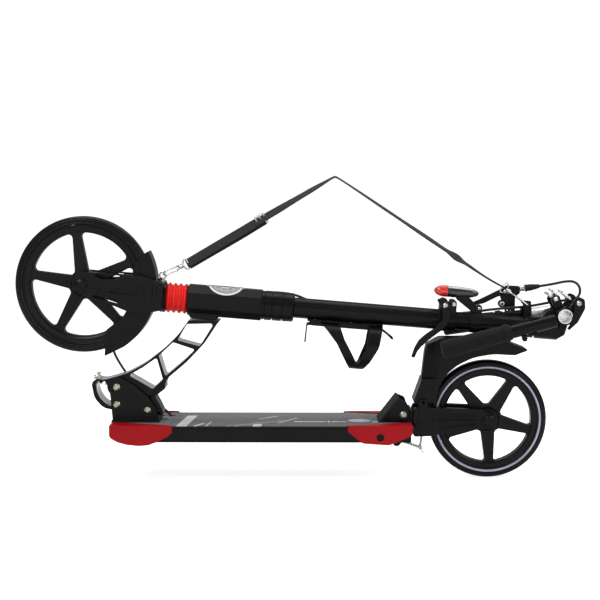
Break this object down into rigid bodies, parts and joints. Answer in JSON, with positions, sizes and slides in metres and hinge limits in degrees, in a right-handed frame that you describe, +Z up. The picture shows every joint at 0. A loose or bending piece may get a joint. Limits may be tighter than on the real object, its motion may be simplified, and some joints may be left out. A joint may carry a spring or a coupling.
{
  "type": "folding kick scooter",
  "caption": "Folding kick scooter with large solid wheels, sprung fork and rear arms, telescopic stem, detachable folding handlebar halves and a carrying strap, folded flat.",
  "frame": {"origin": "under the middle of the folded scooter, level with the bottom of the rear tyre", "axes": "+X from the front wheel's end to the rear wheel, +Y to the rider's right, +Z up"},
  "size_m": [0.964, 0.1572, 0.51],
  "materials": {
    "black_paint": "aluminium with a satin black powder coat",
    "black_steel": "steel with a satin black powder coat",
    "black_plastic": "moulded black plastic",
    "gloss_black": "glossy black plastic",
    "bare_aluminium": "satin machined aluminium",
    "bright_steel": "bright plated steel",
    "spring_steel": "plain steel",
    "red_plastic": "moulded red plastic",
    "red_rubber": "flexible red rubber",
    "red_lens": "clear red plastic",
    "tyre_black": "solid polyurethane tyre",
    "foam_black": "foam rubber grip",
    "grip_grey": "speckled grit sheet with pale stripes",
    "webbing_black": "woven nylon webbing",
    "cable_black": "smooth black casing",
    "brass": "polished brass",
    "badge_white": "plain white plate",
    "damper_rubber": "dense black rubber"
  },
  "bodies": {
    "deck": {"deck_extrusion": "black_paint", "grip_tape": "grip_grey", "front_bumpers": "red_plastic", "rear_bumpers": "red_plastic", "hinge_bracket": "black_steel", "deck_bolts": "bright_steel", "rear_bracket": "black_steel", "cable_stop": "black_steel"},
    "release_lever": {"release_lever": "black_steel"},
    "neck": {"neck_frame": "black_paint", "head_tube": "black_paint", "head_badge": "badge_white", "headset_bearings": "spring_steel"},
    "stem": {"steerer_tube": "spring_steel", "stem_collar": "black_paint", "stem_screws": "bright_steel", "lower_tube": "black_paint", "height_clamp": "black_steel", "bottle_cage": "black_plastic", "brake_cable": "cable_black", "strap": "webbing_black"},
    "clamp_lever": {"clamp_lever": "black_steel"},
    "fork": {"fork": "black_paint", "fork_spring": "spring_steel", "fork_fasteners": "bright_steel", "front_fender": "black_plastic", "bellows": "red_rubber", "front_hook": "bright_steel"},
    "front_wheel": {"front_tyre": "tyre_black", "front_rim": "black_plastic", "front_bearings": "bright_steel"},
    "upper_stem": {"upper_tube": "black_paint", "tee_housing": "black_paint", "tee_bolt": "bright_steel", "light_housing": "gloss_black", "light_lens": "red_lens", "bar_clip": "black_plastic", "rear_hook": "bright_steel"},
    "tee_lever_left": {"tee_lever_left": "black_steel"},
    "tee_lever_right": {"tee_lever_right": "black_steel"},
    "left_bar": {"left_bar_tube": "black_paint", "left_grip": "foam_black"},
    "left_button": {"left_button": "brass"},
    "right_bar": {"right_bar_tube": "black_paint", "right_grip": "foam_black", "brake_body": "black_steel", "cable_adjuster": "bright_steel"},
    "right_button": {"right_button": "brass"},
    "brake_blade": {"brake_blade": "black_steel"},
    "swing_arm": {"left_arm": "black_plastic", "right_arm": "black_plastic", "arm_bolts": "bright_steel", "rear_axle": "bright_steel", "rear_damper": "damper_rubber", "brake_spring": "spring_steel"},
    "rear_wheel": {"rear_tyre": "tyre_black", "rear_rim": "black_plastic", "rear_bearings": "bright_steel"},
    "rear_fender": {"rear_fender": "black_plastic"},
    "brake_arm": {"brake_arm": "spring_steel"}
  },
  "joints": [
    {"name": "fold", "type": "hinge", "parent": "deck", "child": "neck", "pos_m": [-0.30945, 0, 0.1565], "axis": [0, -1, 0], "range_deg": [0, 85]},
    {"name": "release", "type": "hinge", "parent": "deck", "child": "release_lever", "pos_m": [-0.25815, 0, 0.1172], "axis": [0, 1, 0], "range_deg": [0, 8], "stiffness_Nm_per_rad": 2, "springref_deg": -5.73},
    {"name": "steering", "type": "hinge", "parent": "neck", "child": "stem", "pos_m": [-0.12874, 0, 0.29749], "axis": [0.9968, 0, -0.0802], "range_deg": [-15, 15]},
    {"name": "suspension", "type": "slide", "parent": "stem", "child": "fork", "axis": [0.9968, 0, -0.0802], "range_m": [0, 0.015], "stiffness_N_per_m": 8000, "springref_m": -0.004, "deforming": ["bellows", "fork_spring", "strap", "brake_cable"]},
    {"name": "front_wheel_spin", "type": "hinge", "parent": "fork", "child": "front_wheel", "pos_m": [-0.36709, 0, 0.3277], "axis": [0, 1, 0], "continuous": true},
    {"name": "height_clamp_lever", "type": "hinge", "parent": "stem", "child": "clamp_lever", "pos_m": [0.23974, 0, 0.29493], "axis": [0, 1, 0], "range_deg": [0, 110]},
    {"name": "height", "type": "slide", "parent": "stem", "child": "upper_stem", "axis": [0.9968, 0, -0.0802], "range_m": [0, 0.11], "deforming": ["strap", "brake_cable"]},
    {"name": "left_cam_lever", "type": "hinge", "parent": "upper_stem", "child": "tee_lever_left", "pos_m": [0.4603, 0, 0.29925], "axis": [0, -1, 0], "range_deg": [0, 110]},
    {"name": "right_cam_lever", "type": "hinge", "parent": "upper_stem", "child": "tee_lever_right", "pos_m": [0.4603, 0, 0.29925], "axis": [0, -1, 0], "range_deg": [0, 110]},
    {"name": "left_handlebar", "type": "hinge", "parent": "upper_stem", "child": "left_bar", "pos_m": [0.42635, -0.0445, 0.27374], "axis": [-0.2554, 0, 0.9668], "range_deg": [0, 90]},
    {"name": "right_handlebar", "type": "hinge", "parent": "upper_stem", "child": "right_bar", "pos_m": [0.43497, 0.0535, 0.27644], "axis": [0.1392, 0, -0.9903], "range_deg": [0, 90]},
    {"name": "left_bar_button", "type": "slide", "parent": "left_bar", "child": "left_button", "axis": [0, -1, 0], "range_m": [0, 0.003], "stiffness_N_per_m": 600, "springref_m": -0.001},
    {"name": "right_bar_button", "type": "slide", "parent": "right_bar", "child": "right_button", "axis": [0, 1, 0], "range_m": [0, 0.003], "stiffness_N_per_m": 600, "springref_m": -0.001},
    {"name": "brake_lever", "type": "hinge", "parent": "right_bar", "child": "brake_blade", "pos_m": [0.35084, 0.057, 0.31107], "axis": [0, -1, 0], "range_deg": [0, 9], "stiffness_Nm_per_rad": 0.6, "springref_deg": -11.46},
    {"name": "rear_suspension", "type": "hinge", "parent": "deck", "child": "swing_arm", "pos_m": [0.19385, 0, 0.095], "axis": [0, -1, 0], "range_deg": [0, 2.5], "stiffness_Nm_per_rad": 350, "springref_deg": -1.72, "deforming": ["rear_damper", "brake_spring"]},
    {"name": "rear_wheel_spin", "type": "hinge", "parent": "swing_arm", "child": "rear_wheel", "pos_m": [0.31485, 0, 0.1], "axis": [0, 1, 0], "continuous": true},
    {"name": "foot_brake", "type": "hinge", "parent": "swing_arm", "child": "rear_fender", "pos_m": [0.20485, 0, 0.131], "axis": [0, 1, 0], "range_deg": [0, 3], "stiffness_Nm_per_rad": 20, "springref_deg": -4.58},
    {"name": "brake_shoe", "type": "hinge", "parent": "swing_arm", "child": "brake_arm", "pos_m": [0.20585, 0, 0.078], "axis": [0, 1, 0], "range_deg": [0, 8]}
  ],
  "couplings": [
    {"joint": "brake_shoe", "follows": "brake_lever", "ratio": 0.5}
  ]
}
